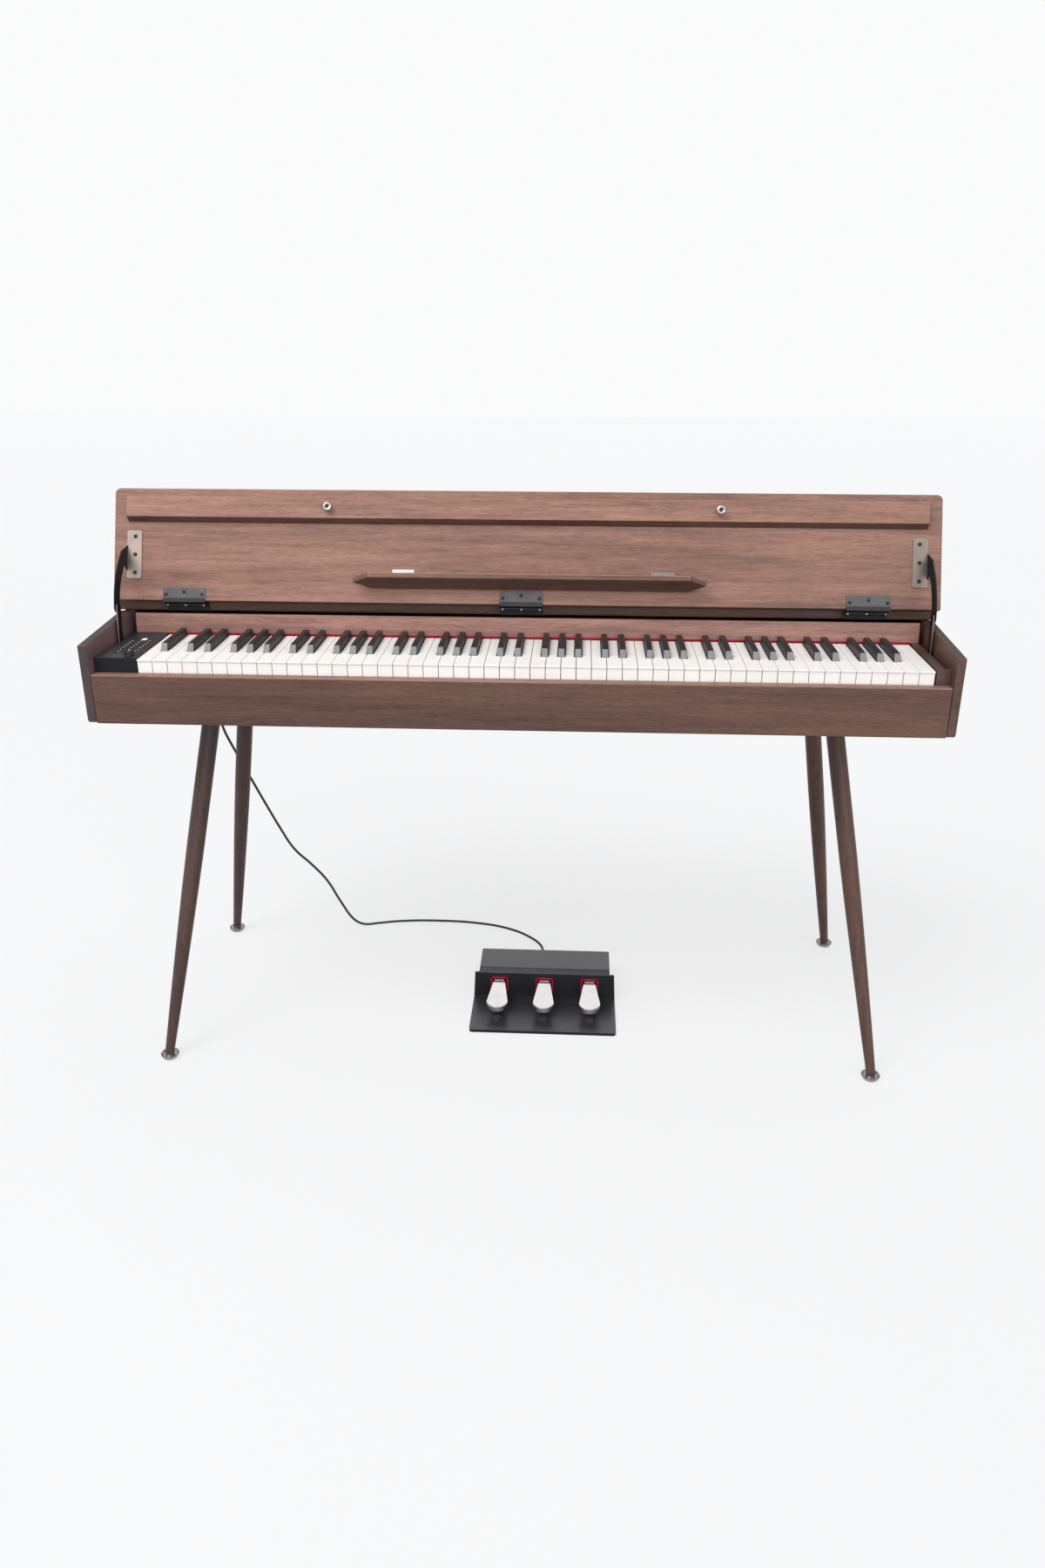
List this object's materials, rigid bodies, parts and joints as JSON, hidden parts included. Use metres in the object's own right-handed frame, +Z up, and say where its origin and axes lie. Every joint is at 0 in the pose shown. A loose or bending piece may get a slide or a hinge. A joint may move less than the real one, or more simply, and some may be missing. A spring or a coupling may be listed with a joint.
{
  "type": "digital piano",
  "caption": "Digital piano with a full-length keyboard, a folding lid with a fold-out music ledge on stays, four splayed tapered legs and a pedal unit on the floor.",
  "frame": {"origin": "on the floor, midway between the end panels and midway between the front of the rail and the back of the rear glides", "axes": "+X along the keyboard to the player's right, +Y from the player to the back, +Z up"},
  "size_m": [1.362, 0.5375, 0.9672],
  "materials": {
    "walnut": "satin reddish walnut",
    "walnut_light": "satin reddish walnut",
    "white_keys": "off-white, satin gloss",
    "black_keys": "black, satin",
    "chassis": "black, matt",
    "controls": "dark grey rubber",
    "hinge_metal": "black, satin",
    "stay_metal": "grey bronze",
    "chrome": "polished",
    "pedal_housing": "charcoal, satin",
    "cable": "dark grey, matt"
  },
  "bodies": {
    "cabinet": {"end_panel_left": "walnut", "end_panel_right": "walnut", "front_rail": "walnut", "bottom_board": "walnut", "back_panel": "walnut", "top_board": "walnut_light", "fascia_board": "walnut_light", "key_bed": "chassis", "control_panel": "chassis", "key_block_right": "walnut", "leg_front_left": "walnut", "leg_front_right": "walnut", "leg_rear_left": "walnut", "leg_rear_right": "walnut", "hinge_leaf_lower_left": "hinge_metal", "hinge_leaf_lower_middle": "hinge_metal", "hinge_leaf_lower_right": "hinge_metal", "pedal_box": "pedal_housing", "pedal_cable": "cable", "cable_plug": "cable"},
    "lid": {"lid_panel": "walnut_light", "hinge_leaf_upper_left": "hinge_metal", "hinge_leaf_upper_middle": "hinge_metal", "hinge_leaf_upper_right": "hinge_metal", "stay_bracket_left": "stay_metal", "stay_bracket_right": "stay_metal"},
    "flap": {"lid_flap": "walnut_light", "lid_knob_left": "chrome", "lid_knob_right": "chrome"},
    "ledge": {"music_ledge": "walnut_light"},
    "stay_arm_left": {"stay_arm_left": "hinge_metal"},
    "stay_strut_left": {"stay_strut_left": "hinge_metal"},
    "stay_arm_right": {"stay_arm_right": "hinge_metal"},
    "stay_strut_right": {"stay_strut_right": "hinge_metal"},
    "white_keys_bass": {"white_keys_bass": "white_keys"},
    "black_keys_bass": {"black_keys_bass": "black_keys"},
    "white_keys_treble": {"white_keys_treble": "white_keys"},
    "black_keys_treble": {"black_keys_treble": "black_keys"},
    "key_c4": {"key_c4": "white_keys"},
    "key_d4": {"key_d4": "white_keys"},
    "key_e4": {"key_e4": "white_keys"},
    "key_f4": {"key_f4": "white_keys"},
    "key_g4": {"key_g4": "white_keys"},
    "key_a4": {"key_a4": "white_keys"},
    "key_b4": {"key_b4": "white_keys"},
    "key_csharp4": {"key_csharp4": "black_keys"},
    "key_dsharp4": {"key_dsharp4": "black_keys"},
    "key_fsharp4": {"key_fsharp4": "black_keys"},
    "key_gsharp4": {"key_gsharp4": "black_keys"},
    "key_asharp4": {"key_asharp4": "black_keys"},
    "volume_knob": {"volume_knob": "hinge_metal"},
    "button_comb": {"button_comb": "controls"},
    "pedal_left": {"pedal_left": "chrome"},
    "pedal_middle": {"pedal_middle": "chrome"},
    "pedal_right": {"pedal_right": "chrome"},
    "foot_front_left": {"foot_front_left": "chrome"},
    "foot_front_right": {"foot_front_right": "chrome"},
    "foot_rear_left": {"foot_rear_left": "chrome"},
    "foot_rear_right": {"foot_rear_right": "chrome"}
  },
  "joints": [
    {"name": "lid_hinge", "type": "hinge", "parent": "cabinet", "child": "lid", "pos_m": [0, -0.058, 0.7855], "axis": [1, 0, 0], "range_deg": [0, 115.25]},
    {"name": "flap_hinge", "type": "hinge", "parent": "lid", "child": "flap", "pos_m": [0, -0.00103, 0.95424], "axis": [1, 0, 0], "range_deg": [-90.05, 0]},
    {"name": "ledge_hinge", "type": "hinge", "parent": "lid", "child": "ledge", "pos_m": [0.013, -0.05352, 0.82315], "axis": [1, 0, 0], "range_deg": [-67.05, 0]},
    {"name": "stay_arm_left_hinge", "type": "hinge", "parent": "lid", "child": "stay_arm_left", "pos_m": [-0.6559, -0.05956, 0.86667], "axis": [1, 0, 0], "range_deg": [-124.29, 0]},
    {"name": "stay_strut_left_hinge", "type": "hinge", "parent": "cabinet", "child": "stay_strut_left", "pos_m": [-0.6537, -0.12514, 0.71678], "axis": [1, 0, 0], "range_deg": [0, 120.51]},
    {"name": "stay_arm_right_hinge", "type": "hinge", "parent": "lid", "child": "stay_arm_right", "pos_m": [0.6559, -0.05956, 0.86667], "axis": [1, 0, 0], "range_deg": [-124.29, 0]},
    {"name": "stay_strut_right_hinge", "type": "hinge", "parent": "cabinet", "child": "stay_strut_right", "pos_m": [0.6537, -0.12514, 0.71678], "axis": [1, 0, 0], "range_deg": [0, 120.51]},
    {"name": "white_keys_bass_press", "type": "hinge", "parent": "cabinet", "child": "white_keys_bass", "pos_m": [-0.31882, -0.012, 0.724], "axis": [1, 0, 0], "range_deg": [0, 2.7], "stiffness_Nm_per_rad": 46, "springref_deg": -5.73},
    {"name": "black_keys_bass_press", "type": "hinge", "parent": "cabinet", "child": "black_keys_bass", "pos_m": [-0.31599, -0.026, 0.722], "axis": [1, 0, 0], "range_deg": [0, 3.3], "stiffness_Nm_per_rad": 32, "springref_deg": -5.73},
    {"name": "white_keys_treble_press", "type": "hinge", "parent": "cabinet", "child": "white_keys_treble", "pos_m": [0.3762, -0.012, 0.724], "axis": [1, 0, 0], "range_deg": [0, 2.7], "stiffness_Nm_per_rad": 44, "springref_deg": -5.73},
    {"name": "black_keys_treble_press", "type": "hinge", "parent": "cabinet", "child": "black_keys_treble", "pos_m": [0.36477, -0.026, 0.722], "axis": [1, 0, 0], "range_deg": [0, 3.3], "stiffness_Nm_per_rad": 30, "springref_deg": -5.73},
    {"name": "key_c4_press", "type": "hinge", "parent": "cabinet", "child": "key_c4", "pos_m": [-0.0361, -0.012, 0.724], "axis": [1, 0, 0], "range_deg": [0, 2.7], "stiffness_Nm_per_rad": 2, "springref_deg": -5.73},
    {"name": "key_d4_press", "type": "hinge", "parent": "cabinet", "child": "key_d4", "pos_m": [-0.01254, -0.012, 0.724], "axis": [1, 0, 0], "range_deg": [0, 2.7], "stiffness_Nm_per_rad": 2, "springref_deg": -5.73},
    {"name": "key_e4_press", "type": "hinge", "parent": "cabinet", "child": "key_e4", "pos_m": [0.01102, -0.012, 0.724], "axis": [1, 0, 0], "range_deg": [0, 2.7], "stiffness_Nm_per_rad": 2, "springref_deg": -5.73},
    {"name": "key_f4_press", "type": "hinge", "parent": "cabinet", "child": "key_f4", "pos_m": [0.03458, -0.012, 0.724], "axis": [1, 0, 0], "range_deg": [0, 2.7], "stiffness_Nm_per_rad": 2, "springref_deg": -5.73},
    {"name": "key_g4_press", "type": "hinge", "parent": "cabinet", "child": "key_g4", "pos_m": [0.05814, -0.012, 0.724], "axis": [1, 0, 0], "range_deg": [0, 2.7], "stiffness_Nm_per_rad": 2, "springref_deg": -5.73},
    {"name": "key_a4_press", "type": "hinge", "parent": "cabinet", "child": "key_a4", "pos_m": [0.0817, -0.012, 0.724], "axis": [1, 0, 0], "range_deg": [0, 2.7], "stiffness_Nm_per_rad": 2, "springref_deg": -5.73},
    {"name": "key_b4_press", "type": "hinge", "parent": "cabinet", "child": "key_b4", "pos_m": [0.10526, -0.012, 0.724], "axis": [1, 0, 0], "range_deg": [0, 2.7], "stiffness_Nm_per_rad": 2, "springref_deg": -5.73},
    {"name": "key_csharp4_press", "type": "hinge", "parent": "cabinet", "child": "key_csharp4", "pos_m": [-0.02644, -0.026, 0.722], "axis": [1, 0, 0], "range_deg": [0, 3.3], "stiffness_Nm_per_rad": 2, "springref_deg": -5.73},
    {"name": "key_dsharp4_press", "type": "hinge", "parent": "cabinet", "child": "key_dsharp4", "pos_m": [0.00136, -0.026, 0.722], "axis": [1, 0, 0], "range_deg": [0, 3.3], "stiffness_Nm_per_rad": 2, "springref_deg": -5.73},
    {"name": "key_fsharp4_press", "type": "hinge", "parent": "cabinet", "child": "key_fsharp4", "pos_m": [0.04353, -0.026, 0.722], "axis": [1, 0, 0], "range_deg": [0, 3.3], "stiffness_Nm_per_rad": 2, "springref_deg": -5.73},
    {"name": "key_gsharp4_press", "type": "hinge", "parent": "cabinet", "child": "key_gsharp4", "pos_m": [0.06992, -0.026, 0.722], "axis": [1, 0, 0], "range_deg": [0, 3.3], "stiffness_Nm_per_rad": 2, "springref_deg": -5.73},
    {"name": "key_asharp4_press", "type": "hinge", "parent": "cabinet", "child": "key_asharp4", "pos_m": [0.09631, -0.026, 0.722], "axis": [1, 0, 0], "range_deg": [0, 3.3], "stiffness_Nm_per_rad": 2, "springref_deg": -5.73},
    {"name": "volume_turn", "type": "hinge", "parent": "cabinet", "child": "volume_knob", "pos_m": [-0.60616, -0.213, 0.7403], "axis": [0, 0, 1], "range_deg": [-150, 150]},
    {"name": "button_press", "type": "slide", "parent": "cabinet", "child": "button_comb", "axis": [0, 0, -1], "range_m": [0, 0.0014], "stiffness_N_per_m": 400, "springref_m": -0.002},
    {"name": "pedal_left_press", "type": "hinge", "parent": "cabinet", "child": "pedal_left", "pos_m": [-0.043, 0.037, 0.04], "axis": [1, 0, 0], "range_deg": [0, 4.5], "stiffness_Nm_per_rad": 20, "springref_deg": -5.73},
    {"name": "pedal_middle_press", "type": "hinge", "parent": "cabinet", "child": "pedal_middle", "pos_m": [0.044, 0.037, 0.04], "axis": [1, 0, 0], "range_deg": [0, 4.5], "stiffness_Nm_per_rad": 20, "springref_deg": -5.73},
    {"name": "pedal_right_press", "type": "hinge", "parent": "cabinet", "child": "pedal_right", "pos_m": [0.131, 0.037, 0.04], "axis": [1, 0, 0], "range_deg": [0, 4.5], "stiffness_Nm_per_rad": 20, "springref_deg": -5.73},
    {"name": "foot_front_left_turn", "type": "hinge", "parent": "cabinet", "child": "foot_front_left", "pos_m": [-0.6205, -0.228, 0.006], "axis": [0, 0, 1], "continuous": true},
    {"name": "foot_front_right_turn", "type": "hinge", "parent": "cabinet", "child": "foot_front_right", "pos_m": [0.6205, -0.228, 0.006], "axis": [0, 0, 1], "continuous": true},
    {"name": "foot_rear_left_turn", "type": "hinge", "parent": "cabinet", "child": "foot_rear_left", "pos_m": [-0.6285, 0.231, 0.006], "axis": [0, 0, 1], "continuous": true},
    {"name": "foot_rear_right_turn", "type": "hinge", "parent": "cabinet", "child": "foot_rear_right", "pos_m": [0.6285, 0.231, 0.006], "axis": [0, 0, 1], "continuous": true}
  ],
  "couplings": [
    {"joint": "flap_hinge", "follows": "lid_hinge", "ratio": -0.78091},
    {"joint": "ledge_hinge", "follows": "lid_hinge", "ratio": -0.58134},
    {"joint": "stay_arm_left_hinge", "follows": "lid_hinge", "ratio": -1.078},
    {"joint": "stay_strut_left_hinge", "follows": "lid_hinge", "ratio": 1.0452},
    {"joint": "stay_arm_right_hinge", "follows": "lid_hinge", "ratio": -1.078},
    {"joint": "stay_strut_right_hinge", "follows": "lid_hinge", "ratio": 1.0452}
  ]
}
